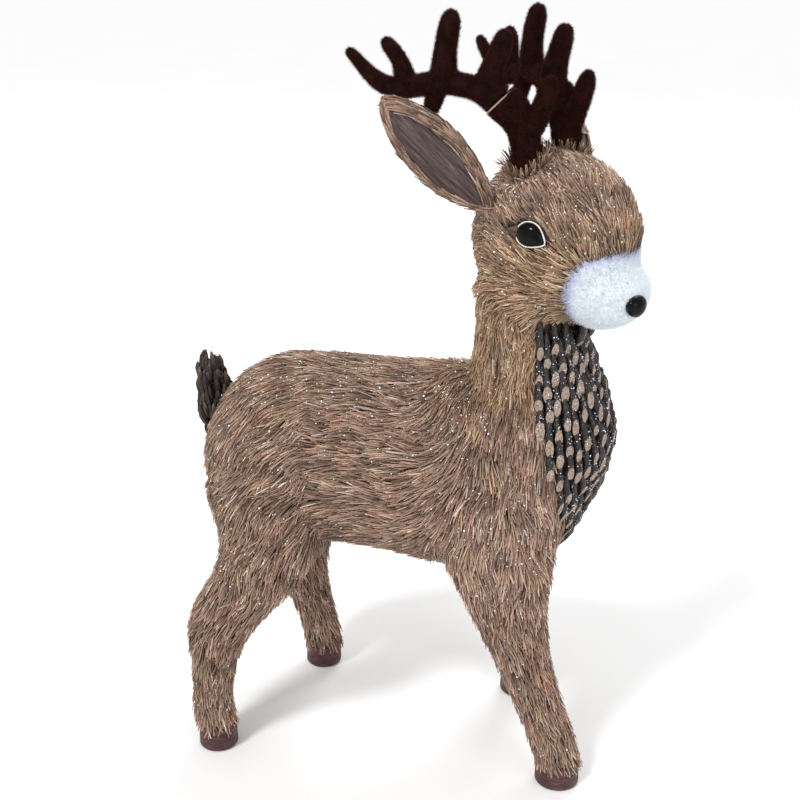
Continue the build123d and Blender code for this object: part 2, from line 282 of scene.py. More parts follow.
class Skin:
    """A smooth closed surface that straw, flock or plush is laid on, in body millimetres."""

    def __init__(self, points, tris):
        self.points = points
        self.tris = tris
        a, b, c = (points[tris[:, i]] for i in range(3))
        cross = np.cross(b - a, c - a)
        self.area = np.linalg.norm(cross, axis=1) / 2
        self.normals = unit(cross)
        self.bvh = BVHTree.FromPolygons(points.tolist(), tris.tolist())

    def sample(self, count, rng, wanted=None):
        """Random places on the surface, and their normals."""
        weight = self.area.copy()
        if wanted is not None:
            weight *= wanted(self.points[self.tris].mean(axis=1))
        chosen = rng.choice(len(self.tris), count, p=weight / weight.sum())
        a, b, c = (self.points[self.tris[chosen, i]] for i in range(3))
        u, v = rng.random((2, count, 1))
        over = u + v > 1
        u, v = np.where(over, 1 - u, u), np.where(over, 1 - v, v)
        return a + u * (b - a) + v * (c - a), self.normals[chosen]

    def nearest(self, points):
        """The nearest places on the surface, and their normals."""
        flat = np.asarray(points).reshape(-1, 3)
        found = [self.bvh.find_nearest(Vector(p)) for p in flat.tolist()]
        places = np.array([f[0][:] for f in found]).reshape(points.shape)
        normals = np.array([f[1][:] for f in found]).reshape(points.shape)
        return places, normals

    def round_neck(self, turn, z):
        """The surface turn degrees round from the front of the neck at height z, and its normal."""
        out = Vector((math.cos(math.radians(turn)), math.sin(math.radians(turn)), 0.0))
        start = Vector((BIB_AXIS_X, 0.0, z)) + out * 300
        place, normal, _, _ = self.bvh.ray_cast(start, -out)
        return np.array(place), np.array(normal)


# ---- strands and hairs --------------------------------------------------------------------------
def band(rows, sides, closed=False):
    """The quads between rows of points that each go round once. closed joins the last to the first."""
    quads = []
    for i in range(rows if closed else rows - 1):
        n = (i + 1) % rows
        for j in range(sides):
            k = (j + 1) % sides
            quads.append((i * sides + j, i * sides + k, n * sides + k, n * sides + j))
    return quads


def strand_piece(name, lines, ups, widths, tints, material, ridge=0.5):
    """Closed three-sided strands along lines (n, rings, 3), as one piece. widths is (n, rings), tints
    holds a linear colour for each ring, and a strand's ridge stands that share of its width high."""
    count, rings = lines.shape[:2]
    along = unit(np.gradient(lines, axis=1))
    side = unit(np.cross(ups, along)) * widths[..., None] / 2
    ridges = lines + ups * (ridge * widths)[..., None]
    points = np.stack((lines - side, lines + side, ridges), axis=2).reshape(-1, 3)
    first = (np.arange(count) * rings * 3)[:, None]
    quads = np.concatenate([first + np.array(quad) for quad in band(rings, 3)])
    last = 3 * (rings - 1)
    tris = np.concatenate([first + np.array(t) for t in ((2, 1, 0), (last, last + 1, last + 2))])
    rows = np.repeat(tints.reshape(-1, 3), 3, axis=0)
    return piece(name, points, quads, tris, material, "straw", smooth=False, tints=rows)


def hair_arrays(roots, tips, width, rng):
    """Fine closed spikes, one four-faced sliver for each root and tip."""
    along = unit(tips - roots)
    side = unit(np.cross(along, unit(rng.normal(size=along.shape))))
    other = np.cross(along, side)
    a = roots + side * width
    b = roots - 0.5 * side * width + 0.87 * other * width
    c = roots - 0.5 * side * width - 0.87 * other * width
    points = np.stack((a, b, c, tips), axis=1).reshape(-1, 3)
    first = (np.arange(len(roots)) * 4)[:, None]
    tris = [first + np.array(t) for t in ((0, 2, 1), (0, 1, 3), (1, 2, 3), (2, 0, 3))]
    return points, [], np.concatenate(tris)


def leg_frame(points, stations):
    """At each point's height, the leg axis's downward direction, and how far out the point is."""
    z, x, y, half_length, half_width = np.array(stations, float).T

    def axis(height):
        return np.stack((np.interp(height, z, x), np.interp(height, z, y), height), axis=1)

    height = points[:, 2]
    place = axis(height)
    out_x = (points[:, 0] - place[:, 0]) / np.interp(height, z, half_length)
    out_y = (points[:, 1] - place[:, 1]) / np.interp(height, z, half_width)
    return unit(axis(height - 12) - place), np.hypot(out_x, out_y)


def straw_flow(points):
    """The way that the straw lies at each point of the body: back along the barrel, down at the
    shoulder, haunch, neck and legs, and away from the muzzle on the head."""
    x, _, z = points.T
    shoulder = 90 * smoothstep(5, 75, x + 0.25 * (230 - z))
    haunch = 40 * smoothstep(-52, -66, x) + 45 * smoothstep(-66, -150, x)
    angle = np.radians(np.maximum(shoulder, haunch))
    flow = np.stack((-np.cos(angle), np.zeros_like(x), -np.sin(angle)), axis=1)
    for stations in LEGS.values():
        down, out = leg_frame(points, stations)
        share = (smoothstep(225, 165, z) * (out < 1.4))[:, None]
        flow = flow * (1 - share) + down * share
    neck = (smoothstep(280, 315, z) * smoothstep(10, 40, x))[:, None]
    flow = flow * (1 - neck) + np.array((0.0, 0.0, -1.0)) * neck
    local = body_to_head(points)
    away = unit(local - (44.0, 0.0, -31.0))
    away[:, 2] -= 1.5 * smoothstep(-10, -55, local[:, 0])
    away = unit(turn_to_body(away))
    head = in_head(points)[:, None]
    return unit(flow * (1 - head) + away * head)


def drift(points, size, rng):
    """Slow random change over the body, about -1 to 1, in patches of about the given size."""
    waves = unit(rng.normal(size=(8, 3))) * 2.4 / size
    return np.sin(points @ waves.T + rng.uniform(0, 2 * np.pi, 8)).sum(axis=1) / 2.6


def in_head(points):
    """1 on the head, 0 off it, with a soft edge under the jaw and at the nape."""
    out = np.linalg.norm(body_to_head(points) / HEAD_HALF, axis=1)
    return smoothstep(1.22, 1.06, out) * smoothstep(362, 385, points[:, 2])


def region_of(points):
    """The name of the region of straw that each point is in."""
    names = np.full(len(points), "torso", dtype="U24")
    names[(points[:, 2] > NECK_BASE) & (points[:, 0] > 15)] = "neck"
    names[in_head(points) > 0.5] = "head"
    for leg, stations in LEGS.items():
        _, out = leg_frame(points, stations)
        names[(points[:, 2] < LEG_TOP) & (out < 1.5)] = f"leg_{leg}"
    return names


def in_region(points, region):
    """1 for points in a straw region and 0 elsewhere."""
    inside = np.char.startswith(region_of(points), region)
    if region == "leg":
        inside &= points[:, 2] > 24
    return inside.astype(float)


def straw_piece_names(points):
    """The name of the piece that a strand rooted at each point belongs to."""
    region = region_of(points)
    side = np.where(np.char.startswith(region, "leg"), "", np.where(points[:, 1] < 0, "_right", "_left"))
    end = np.where(region == "torso", np.where(points[:, 0] > -20, "_front", "_rear"), "")
    return np.char.add(np.char.add(np.char.add("straw_", region), side), end)


def bib_reach(z):
    """How far round from the front the bib reaches at height z, in degrees."""
    heights, turns = zip(*BIB_REACH)
    return np.interp(z, heights, turns, left=0.0)


def plush_depth(local):
    """How far inside the plush's edge a point in the head's frame lies: above 0 is plush. The edge
    curves round the cheek and crosses the bridge of the nose, with a rounded corner between."""
    height = local[..., 2]
    behind = PLUSH_CORNER - (local[..., 0] - 33.0 - 0.012 * (height + 38.0) ** 2)
    above = PLUSH_CORNER - (-2.0 - height)
    corner = np.hypot(np.maximum(behind, 0.0), np.maximum(above, 0.0))
    depth = PLUSH_CORNER - corner - np.minimum(np.maximum(behind, above), 0.0)
    return np.where(height > -64.0, depth, -20.0)


def open_to_straw(points, overlap):
    """False where straw would cover the eyes, muzzle, antlers, bib or hooves. overlap is how far in
    millimetres it may reach over the plush."""
    local = body_to_head(points)
    clear = plush_depth(local) < overlap
    for side in (-1.0, 1.0):
        eye = (EYE_PLACE + (0.6, 0.0, -0.8)) * (1.0, side, 1.0)
        clear &= np.linalg.norm((local - eye) / (13.4, 10.0, 8.8), axis=-1) > 1.0
        leaf = (EYE_PLACE + (-13.5, -1.0, 0.6)) * (1.0, side, 1.0)
        clear &= np.linalg.norm((local - leaf) / (5.6, 10.0, 3.9), axis=-1) > 1.0
        stub = np.array((-12.0, 24.0 * side, 60.0))
        clear &= np.linalg.norm(local - stub, axis=-1) > 11.0
    x, y, z = np.moveaxis(points, -1, 0)
    turn = np.degrees(np.abs(np.arctan2(y, x - BIB_AXIS_X)))
    off_head = np.linalg.norm(local / HEAD_HALF, axis=-1) > 1.06
    bib = (turn < bib_reach(z) - 6.0) & (z < BIB_TOP + 4) & off_head
    return clear & ~bib & (z > LOWEST_TIP)


def straw_tone(roots, rng):
    """How the straw's colour changes over the body: golden on the head, redder down the neck, paler
    on the shoulder, and lighter and darker tufts all over."""
    head = in_head(roots)[:, None]
    neck = (smoothstep(290, 330, roots[:, 2]) * smoothstep(20, 50, roots[:, 0]))[:, None] * (1 - head)
    brow = smoothstep(-20, 35, body_to_head(roots)[:, 2:])
    x, _, z = roots.T
    shoulder = np.exp(-((x - 88) / 34) ** 2 - ((z - 225) / 48) ** 2)[:, None]
    tone = 1 + shoulder * (0.13, 0.15, 0.22) + neck * (0.0, -0.02, -0.16)
    tone = tone + head * ((0.16, 0.17, 0.02) - brow * (0.18, 0.17, 0.03))
    return tone * (1 + 0.20 * drift(roots, 9, rng)[:, None] + 0.05 * drift(roots, 40, rng)[:, None])


def straw_tints(count, rng, tone=1.0):
    """A linear colour for each ring of each strand: painted shade at the root, painted light at the tip.
    """
    shades = linear([colour for colour, _ in STRAW_COLOURS])
    share = np.array([common for _, common in STRAW_COLOURS], float)
    base = shades[rng.choice(len(shades), count, p=share / share.sum())]
    base = base * tone * rng.normal(1.0, 0.20, (count, 1)).clip(0.5, 1.6)
    # Painted shade darkens the root, where a strand lies under others; painted light brightens its
    # raised tip.
    root_shade_tip_light = np.interp(np.linspace(0, 1, len(ALONG_STRAND)), (0, 0.35, 1), (0.34, 0.88, 1.18))
    return (base[:, None, :] * root_shade_tip_light[None, :, None]).clip(0, 0.9)


def lay_straw(skin, rng):
    """Every strand of the body as lines, ups and widths."""
    batches = []
    for region, (count, shortest, longest, width) in STRAW_REGIONS.items():
        roots, normals = skin.sample(count, rng, lambda p: in_region(p, region))
        flow = straw_flow(roots)
        flow = unit(flow - normals * dot(flow, normals))
        sway = 6 if region == "leg" else 11
        angles = sway * drift(roots, 13, rng) + rng.normal(0, 9, count)
        flow = around(np.radians(angles), flow, np.cross(normals, flow))
        length = rng.uniform(shortest, longest, count)
        line = roots[:, None] + flow[:, None] * (length[:, None] * ALONG_STRAND)[..., None]
        places, ups = skin.nearest(line)
        above = np.clip(0.7 * dot(line - places, ups)[..., 0], 0, 2.5)
        lift = rng.uniform(0, STRAW_LIFT, (count, 1)) - STRAW_SINK
        tip_lift = ALONG_STRAND ** 2 * rng.uniform(0, TIP_LIFT, (count, 1))
        lift = lift + above + tip_lift - 1.2 * (ALONG_STRAND == 0)
        line = places + ups * lift[..., None]
        lean = np.radians(rng.uniform(-35, 35, (count, 1, 1)))
        sideways = unit(np.cross(ups, np.gradient(line, axis=1)))
        ups = unit(ups * np.cos(lean) + sideways * np.sin(lean))
        widths = width * rng.uniform(0.75, 1.3, (count, 1)) * STRAND_TAPER
        kept = open_to_straw(line, rng.uniform(-0.5, 3.0, (count, 1))).all(axis=1)
        batches.append([values[kept] for values in (line, ups, widths)])
    return [np.concatenate(values) for values in zip(*batches)]


def body_straw(skin, material, rng):
    """All the body's straw, in a piece for each region and side. Returns the lines and ups."""
    lines, ups, widths = lay_straw(skin, rng)
    tints = straw_tints(len(lines), rng, straw_tone(lines[:, 0], rng))
    names = straw_piece_names(lines[:, 0])
    for name in np.unique(names):
        mine = names == name
        strand_piece(str(name), lines[mine], ups[mine], widths[mine], tints[mine], material)
    return lines, ups


# ---- materials --------------------------------------------------------------------------------
class Nodes:
    """A material's node tree, with short calls for the nodes that the materials share."""

    def __init__(self, name, **sockets):
        self.material = bpy.data.materials.new(name)
        self.material.use_nodes = True
        self.tree = self.material.node_tree
        self.shader = self.tree.nodes["Principled BSDF"]
        for socket, value in sockets.items():
            self.shader.inputs[socket.replace("_", " ")].default_value = value

    def add(self, kind, **inputs):
        node = self.tree.nodes.new(kind)
        for socket, value in inputs.items():
            self.feed(node.inputs[socket.replace("_", " ")], value)
        return node

    def feed(self, socket, value):
        if isinstance(value, bpy.types.NodeSocket):
            self.tree.links.new(value, socket)
        else:
            socket.default_value = value

    def attribute(self, name, output):
        node = self.tree.nodes.new("ShaderNodeAttribute")
        node.attribute_name = name
        return node.outputs[output]

    def stretched(self, *scale):
        """Object coordinates scaled along each axis."""
        coordinates = self.tree.nodes.new("ShaderNodeTexCoord").outputs["Object"]
        return self.add("ShaderNodeMapping", Vector=coordinates, Scale=scale).outputs["Vector"]

    def noise(self, scale, detail, vector=None, roughness=0.6):
        vector = vector or self.stretched(1.0, 1.0, 1.0)
        sizes = {"Scale": scale, "Detail": detail, "Roughness": roughness}
        return self.add("ShaderNodeTexNoise", Vector=vector, **sizes).outputs["Fac"]

    def streaks(self, detail, *scale):
        """Noise of a scale of its own along each axis."""
        return self.noise(1.0, detail, self.stretched(*scale))

    def ramp(self, value, stops):
        """value turned into a colour by stops of place and linear colour."""
        node = self.add("ShaderNodeValToRGB", Fac=value)
        elements = node.color_ramp.elements
        while len(elements) < len(stops):
            elements.new(0.5)
        for element, (place, colour) in zip(elements, stops):
            element.position = place
            element.color = (*colour, 1.0)
        return node.outputs["Color"]

    def shades(self, value, *stops):
        """value turned into a colour by stops of place and colour as seen."""
        return self.ramp(value, [(place, linear(colour)) for place, colour in stops])

    def greys(self, value, *stops):
        """value turned into a grey by stops of place and linear grey."""
        return self.ramp(value, [(place, (grey, grey, grey)) for place, grey in stops])

    def mixed(self, kind, amount, first, second):
        node = self.tree.nodes.new("ShaderNodeMix")
        node.data_type = "RGBA"
        node.blend_type = kind
        for socket, value in (("Factor", amount), ("A", first), ("B", second)):
            self.feed(node.inputs[socket], value)
        return node.outputs["Result"]

    def tinted(self, value, *stops):
        """Colours each point by its own tint, times a grey that value picks from stops."""
        tint = self.attribute("tint", "Color")
        self.colour(self.mixed("MULTIPLY", 1.0, tint, self.greys(value, *stops)))

    def colour(self, value):
        self.feed(self.shader.inputs["Base Color"], value)

    def rough(self, value, low, high):
        """Roughness from low where value is 0 to high where it is 1."""
        node = self.add("ShaderNodeMapRange", Value=value, To_Min=low, To_Max=high)
        self.feed(self.shader.inputs["Roughness"], node.outputs["Result"])

    def bump(self, height, strength, distance):
        node = self.add("ShaderNodeBump", Height=height, Strength=strength, Distance=distance * MM)
        self.feed(self.shader.inputs["Normal"], node.outputs["Normal"])


def straw_material():
    """Dried grass: each strand has its own tint, with fine flecks and a soft gloss."""
    nodes = Nodes("straw_strands")
    nodes.tinted(nodes.noise(900, 4), (0.30, 0.66), (0.55, 1.0), (0.80, 1.15))
    nodes.rough(nodes.noise(350, 2), 0.48, 0.75)
    nodes.bump(nodes.noise(2600, 3), 0.35, 0.25)
    return nodes.material


def painted_shade_material():
    """Painted shade: the dark layer that shows between strands, for the shaded deep straw."""
    nodes = Nodes("straw_under_painted_shade")
    streaks = nodes.streaks(4, 420, 420, 120)
    nodes.colour(nodes.shades(streaks, (0.3, (0.14, 0.09, 0.065)), (0.7, (0.30, 0.21, 0.16))))
    nodes.rough(streaks, 0.7, 0.9)
    nodes.bump(streaks, 0.8, 1.0)
    return nodes.material


def glitter_material():
    nodes = Nodes("glitter", Roughness=0.18)
    nodes.colour(nodes.shades(nodes.noise(500, 1), (0.3, (0.86, 0.88, 0.92)), (0.7, (1.0, 1.0, 1.0))))
    return nodes.material


def velvet_material():
    """Short dark brown flock."""
    nodes = Nodes("antler_velvet", Sheen_Weight=0.9, Sheen_Roughness=0.3, Specular_IOR_Level=0.1)
    nodes.shader.inputs["Sheen Tint"].default_value = (*linear((0.70, 0.26, 0.15)), 1.0)
    patches = nodes.noise(110, 5, roughness=0.75)
    nodes.colour(nodes.shades(patches, (0.36, (0.035, 0.014, 0.009)), (0.66, (0.165, 0.07, 0.045))))
    nodes.rough(patches, 0.8, 1.0)
    nodes.bump(nodes.noise(1500, 3), 0.6, 0.5)
    return nodes.material


def lip_material():
    nodes = Nodes("socket_lip")
    tone = nodes.noise(300, 3)
    nodes.colour(nodes.shades(tone, (0.3, (0.62, 0.52, 0.45)), (0.7, (0.80, 0.72, 0.64))))
    nodes.rough(tone, 0.5, 0.7)
    nodes.bump(nodes.noise(1500, 2), 0.3, 0.2)
    return nodes.material


def plush_material():
    """White plush, faintly blue."""
    nodes = Nodes("muzzle_plush", Sheen_Weight=0.4, Sheen_Roughness=0.5)
    nodes.tinted(nodes.noise(400, 3), (0.3, 0.90), (0.7, 1.0))
    nodes.rough(nodes.noise(400, 2), 0.8, 1.0)
    nodes.bump(nodes.noise(900, 3), 0.5, 0.5)
    return nodes.material


def black_material():
    """Glossy black with a trace of orange peel."""
    nodes = Nodes("gloss_black", Specular_IOR_Level=0.12)
    cloud = nodes.noise(120, 2)
    nodes.colour(nodes.greys(cloud, (0.3, 0.002), (0.7, 0.006)))
    nodes.rough(cloud, 0.06, 0.12)
    nodes.bump(nodes.noise(220, 1), 0.05, 0.2)
    return nodes.material


def rim_material():
    nodes = Nodes("eye_rim_white")
    wear = nodes.noise(600, 3)
    nodes.colour(nodes.shades(wear, (0.3, (0.78, 0.76, 0.72)), (0.6, (0.95, 0.95, 0.94))))
    nodes.rough(wear, 0.35, 0.55)
    nodes.bump(wear, 0.2, 0.2)
    return nodes.material


def husk_material(name, tones):
    """Bark husk with long dark grain, drawn along each piece by its grain coordinates. tones are
    four colours as seen, from the dark creases to the pale wear."""
    nodes = Nodes(name)
    grain = nodes.attribute("grain", "Vector")
    long_grain = nodes.add("ShaderNodeMapping", Vector=grain, Scale=(0.07, 1.0, 1.0))
    lines = nodes.noise(0.42, 7, long_grain.outputs["Vector"], 0.75)
    nodes.colour(nodes.shades(lines, *zip((0.38, 0.47, 0.60, 0.72), tones)))
    nodes.rough(lines, 0.75, 0.5)
    nodes.bump(lines, 0.9, 0.9)
    return nodes.material


def bark_material():
    """Dark twig bark, frosted with fine glitter."""
    nodes = Nodes("twig_bark")
    ridges = nodes.streaks(4, 900, 900, 220)
    dark, brown, worn = (0.025, 0.012, 0.01), (0.11, 0.065, 0.055), (0.36, 0.27, 0.24)
    bark = nodes.shades(ridges, (0.38, dark), (0.58, brown), (0.80, worn))
    frost = nodes.greys(nodes.noise(1300, 2), (0.64, 0.0), (0.72, 0.7))
    nodes.colour(nodes.mixed("MIX", frost, bark, (*linear((0.80, 0.76, 0.74)), 1.0)))
    nodes.rough(ridges, 0.5, 0.2)
    nodes.bump(ridges, 1.0, 0.8)
    return nodes.material


def cut_material():
    """The pale cut end of a twig, darker at its pith."""
    nodes = Nodes("twig_cut")
    rings = nodes.noise(900, 4)
    nodes.colour(nodes.shades(rings, (0.34, (0.38, 0.30, 0.27)), (0.66, (0.73, 0.66, 0.60))))
    nodes.rough(rings, 0.6, 0.8)
    nodes.bump(rings, 0.4, 0.2)
    return nodes.material


def cone_material():
    """Very dark twigs and cone scales with paler worn tips."""
    nodes = Nodes("cone_scales")
    ridges = nodes.streaks(4, 700, 700, 180)
    nodes.tinted(ridges, (0.3, 0.45), (0.55, 1.0), (0.75, 1.7))
    nodes.rough(ridges, 0.8, 0.5)
    nodes.bump(ridges, 0.8, 0.5)
    return nodes.material


def hoof_material():
    """Dark red-brown paint, brushed on and rubbed in places."""
    nodes = Nodes("hoof_paint")
    brush = nodes.streaks(5, 90, 90, 420)
    dark, paint, rubbed = (0.17, 0.085, 0.085), (0.28, 0.15, 0.15), (0.42, 0.28, 0.27)
    nodes.colour(nodes.shades(brush, (0.30, dark), (0.52, paint), (0.75, rubbed)))
    nodes.rough(nodes.noise(250, 3), 0.45, 0.75)
    nodes.bump(nodes.noise(700, 4), 0.5, 0.5)
    return nodes.material


def foam_material():
    nodes = Nodes("foam_beads")
    cells = nodes.add("ShaderNodeTexVoronoi", Vector=nodes.stretched(1.0, 1.0, 1.0), Scale=260.0)
    beads = cells.outputs["Distance"]
    nodes.colour(nodes.greys(beads, (0.0, 0.84), (0.6, 0.70)))
    nodes.rough(beads, 0.6, 0.85)
    nodes.bump(beads, 0.5, 0.6)
    return nodes.material


def steel_material():
    nodes = Nodes("steel_wire", Metallic=1.0)
    drawn = nodes.streaks(3, 900, 900, 60)
    nodes.colour(nodes.greys(drawn, (0.3, 0.38), (0.7, 0.56)))
    nodes.rough(drawn, 0.28, 0.45)
    nodes.bump(drawn, 0.2, 0.1)
    return nodes.material


def dowel_material():
    nodes = Nodes("dowel_wood")
    grain = nodes.streaks(4, 500, 500, 25)
    nodes.colour(nodes.shades(grain, (0.3, (0.70, 0.55, 0.38)), (0.7, (0.84, 0.71, 0.53))))
    nodes.rough(grain, 0.55, 0.75)
    nodes.bump(grain, 0.3, 0.2)
    return nodes.material


def floor_material():
    nodes = Nodes("studio_floor")
    tone = nodes.noise(3, 2)
    nodes.colour(nodes.greys(tone, (0.3, 0.95), (0.7, 0.96)))
    nodes.rough(tone, 0.8, 0.9)
    return nodes.material


# ---- the pieces -------------------------------------------------------------------------------
def point_normals(skin):
    """The normal at each of a skin's points."""
    normals = np.zeros_like(skin.points)
    for corner in range(3):
        np.add.at(normals, skin.tris[:, corner], skin.normals * skin.area[:, None])
    return unit(normals)


def under_layer(skin, material):
    """Painted shade for the deep straw: a dark sheet that the loose strands lie on, cut off flat over
    each hoof.
    """
    points = skin.points - point_normals(skin) * (STRAW_SINK + 0.4)
    points[:, 2] = np.maximum(points[:, 2], UNDER_LAYER_FOOT)
    obj = piece("straw_under_painted_shade", points, [], skin.tris, material, "straw")
    bm = bmesh.new()
    bm.from_mesh(obj.data)
    bmesh.ops.dissolve_degenerate(bm, dist=0.2 * MM, edges=bm.edges)
    bm.to_mesh(obj.data)
    bm.free()
    straw_nodes = [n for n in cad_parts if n.endswith("_straw") and "ear" not in n]
    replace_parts(obj, *sorted(straw_nodes))
    return obj


def glitter(lines, ups, rng, material):
    """Flat bright flakes caught on the straw: most on the back, rump, shoulder and brow."""
    places = lines[:, 2] + ups[:, 2] * 0.55
    x, _, z = places.T
    wish = 0.25 + 0.9 * smoothstep(250, 300, z) * (x < 60) + 0.8 * smoothstep(-60, -130, x) * (z > 150)
    wish += 0.7 * (np.abs(x - 80) < 45) * (np.abs(z - 250) < 55) + 1.2 * (z > 455) + 0.5 * (z > 300)
    chosen = rng.choice(len(places), STRAW_FLAKES, replace=False, p=wish / wish.sum())
    centres = places[chosen]
    normal = unit(ups[chosen, 2] + rng.normal(0, 0.5, (len(chosen), 3)))
    return flakes("glitter_straw", centres, normal, (0.38, 0.92), rng, material)


def flakes(name, centres, normals, sizes, rng, material):
    """Flat eight-faced flakes, between two sizes in millimetres from centre to corner."""
    side = unit(np.cross(normals, rng.normal(size=normals.shape)))
    other = np.cross(normals, side)
    size = rng.uniform(*sizes, (len(centres), 1))
    arms = (side * size, other * size, -side * size, -other * size, normals * 0.14, -normals * 0.14)
    points = np.stack([centres + arm for arm in arms], axis=1).reshape(-1, 3)
    first = (np.arange(len(centres)) * 6)[:, None]
    tris = []
    for i in range(4):
        j = (i + 1) % 4
        tris.append(first + np.array((i, j, 4)))
        tris.append(first + np.array((j, i, 5)))
    return piece(name, points, [], np.concatenate(tris), material, "straw", smooth=False)


def tube(path, radii, sides, ups):
    """A closed tube through a path of points, with a radius at each."""
    along = unit(np.gradient(path, axis=0))
    side = unit(np.cross(ups, along))
    section = around(full_turn(sides), side[:, None], np.cross(along, side)[:, None])
    points = (path[:, None] + section * np.asarray(radii).reshape(len(path), -1, 1)).reshape(-1, 3)
    return points, band(len(path), sides)


def mirrored(points, side):
    """Points drawn for the left side, moved to side."""
    return points * (1.0, 1.0 if side == "left" else -1.0, 1.0)


def facing_out(faces, side):
    """Faces drawn for the left, turned over for the mirrored side."""
    return faces if side == "left" else [face[::-1] for face in faces]


def head_piece(name, side, points, quads, tris, material, slot, smooth=True):
    """A piece drawn in the head's frame for the left side."""
    body = head_to_body(mirrored(points, side))
    faces = facing_out(quads, side), facing_out(tris, side)
    return piece(f"{side}_{name}", body, *faces, material, slot, smooth=smooth)


def closed_slab(front, count):
    """The faces of a closed slab from those of its front: front and back, then the edge between. The
    back's points are the front's again, count further on."""
    back = [tuple(v + count for v in face[::-1]) for face in front]
    sides = {(a, b) for face in front for a, b in zip(face, face[1:] + face[:1])}
    edge = [(b, a, a + count, b + count) for a, b in sorted(sides) if (b, a) not in sides]
    return front + back, edge


def eye_axes():
    """Forward, up and outward at the left eye, in the head's frame."""
    out = unit(EYE_PLACE / HEAD_HALF ** 2)
    forward = unit(np.cross(out, (0.0, 0.0, 1.0)))
    return forward, np.cross(forward, out), out


def eye_outline(turn):
    """The eye's outline radius: round, drawn out to a corner low in front."""
    corner = math.radians(-23)
    gap = (turn - corner + np.pi) % (2 * np.pi) - np.pi
    oval = 1 / np.hypot(np.cos(turn) / EYE_HALF_LENGTH, np.sin(turn) / EYE_HALF_HEIGHT)
    return oval * (1 + 0.52 * np.exp(-np.abs(gap / 0.40) ** 1.35))


def eyes(black, white, husk):
    """Tear-shaped glossy eyes, each with a thin white rim and a bark leaf in its rear corner."""
    for side in ("left", "right"):
        eye_ball(side, *eye_axes(), black)
        eye_rim(side, *eye_axes(), white)
        eye_corner(side, *eye_axes(), husk)


def eye_ball(side, forward, up, out, material):
    """A low dome over the eye's outline, with a flat cone behind it."""
    turns = full_turn(48)
    outline = around(turns, forward, up) * eye_outline(turns)[:, None]
    shares = np.linspace(1.0, 0.08, 14)
    rises = EYE_RISE * np.sqrt(1 - shares ** 2) - 0.6
    rings = [EYE_PLACE + outline * share + out * rise for share, rise in zip(shares, rises)]
    points = np.concatenate((*rings, [EYE_PLACE + out * 4.6, EYE_PLACE - out * 2.0]))
    count, top = len(turns), len(points) - 2
    last = top - count
    tris = [(last + j, last + (j + 1) % count, top) for j in range(count)]
    tris += [((j + 1) % count, j, top + 1) for j in range(count)]
    quads = band(len(shares), count)
    ball = head_piece("eye_gloss", side, points, quads, tris, material, "gloss_black")
    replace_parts(ball, f"{side}_eye")


def eye_rim(side, forward, up, out, material):
    turns = full_turn(48)
    path = EYE_PLACE + around(turns, forward, up) * (eye_outline(turns)[:, None] + 0.5) + out * 0.2
    points, quads = ring(path, out, 0.55)
    rim = head_piece("eye_lid", side, points, quads, [], material, "eye_rim")
    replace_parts(rim, f"{side}_eye_rim")


def ring(path, out, radius, sides=8):
    """A closed ring of round section along a closed path."""
    along = unit(np.roll(path, -1, axis=0) - np.roll(path, 1, axis=0))
    across = unit(np.cross(along, out))
    section = around(full_turn(sides), across[:, None], out)
    points = (path[:, None] + section * radius).reshape(-1, 3)
    return points, [(b, a, d, c) for a, b, c, d in band(len(path), sides, closed=True)]


def eye_corner(side, forward, up, out, material):
    """A three-cornered leaf of bark behind the eye."""
    corners = np.array(((-8.6, 5.6), (-9.2, -4.6), (-18.5, 1.6)))
    steps = 8
    mix = [(i, j, steps - i - j) for i in range(steps + 1) for j in range(steps + 1 - i)]
    flat = np.array(mix) @ corners / steps
    swell = 1.2 * np.min(mix, axis=1) / steps
    points, grain = [], []
    for level, rise in ((0.9, 0.9 + swell), (-2.4, np.full(len(mix), -2.4))):
        points.append(EYE_PLACE + flat[:, :1] * forward + flat[:, 1:] * up + rise[:, None] * out)
        grain.append(np.column_stack((flat, np.full(len(mix), level))))
    number = {(i, j): index for index, (i, j, _) in enumerate(mix)}
    front = []
    for i, j, left_over in mix:
        if left_over > 0:
            front.append((number[i + 1, j], number[i, j + 1], number[i, j]))
        if left_over > 1:
            front.append((number[i + 1, j], number[i + 1, j + 1], number[i, j + 1]))
    tris, quads = closed_slab(front, len(mix))
    points = np.concatenate(points)
    leaf = head_piece("eye_bark", side, points, quads, tris, material, "husk", smooth=False)
    add_grain(leaf, np.concatenate(grain))
    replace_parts(leaf, f"{side}_eye_corner")


def add_grain(obj, grain):
    """Coordinates along and across the grain, in millimetres, for the bark material."""
    layer = obj.data.attributes.new("grain", "FLOAT_VECTOR", "POINT")
    layer.data.foreach_set("vector", np.asarray(grain, np.float32).ravel())


def nose(material):
    """A glossy rounded triangle, wider above than below."""
    bm = bmesh.new()
    bmesh.ops.create_icosphere(bm, subdivisions=4, radius=1.0)
    points = np.array([v.co[:] for v in bm.verts])
    tris = [[v.index for v in f.verts] for f in bm.faces]
    bm.free()
    points[:, 1] *= 1 + 0.20 * points[:, 2] - 0.10 * points[:, 2] ** 2
    points = head_to_body(points * (NOSE_HALF + 0.4) + NOSE_CENTRE)
    obj = piece("nose_gloss", points, [], tris, material, "gloss_black")
    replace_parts(obj, "nose")


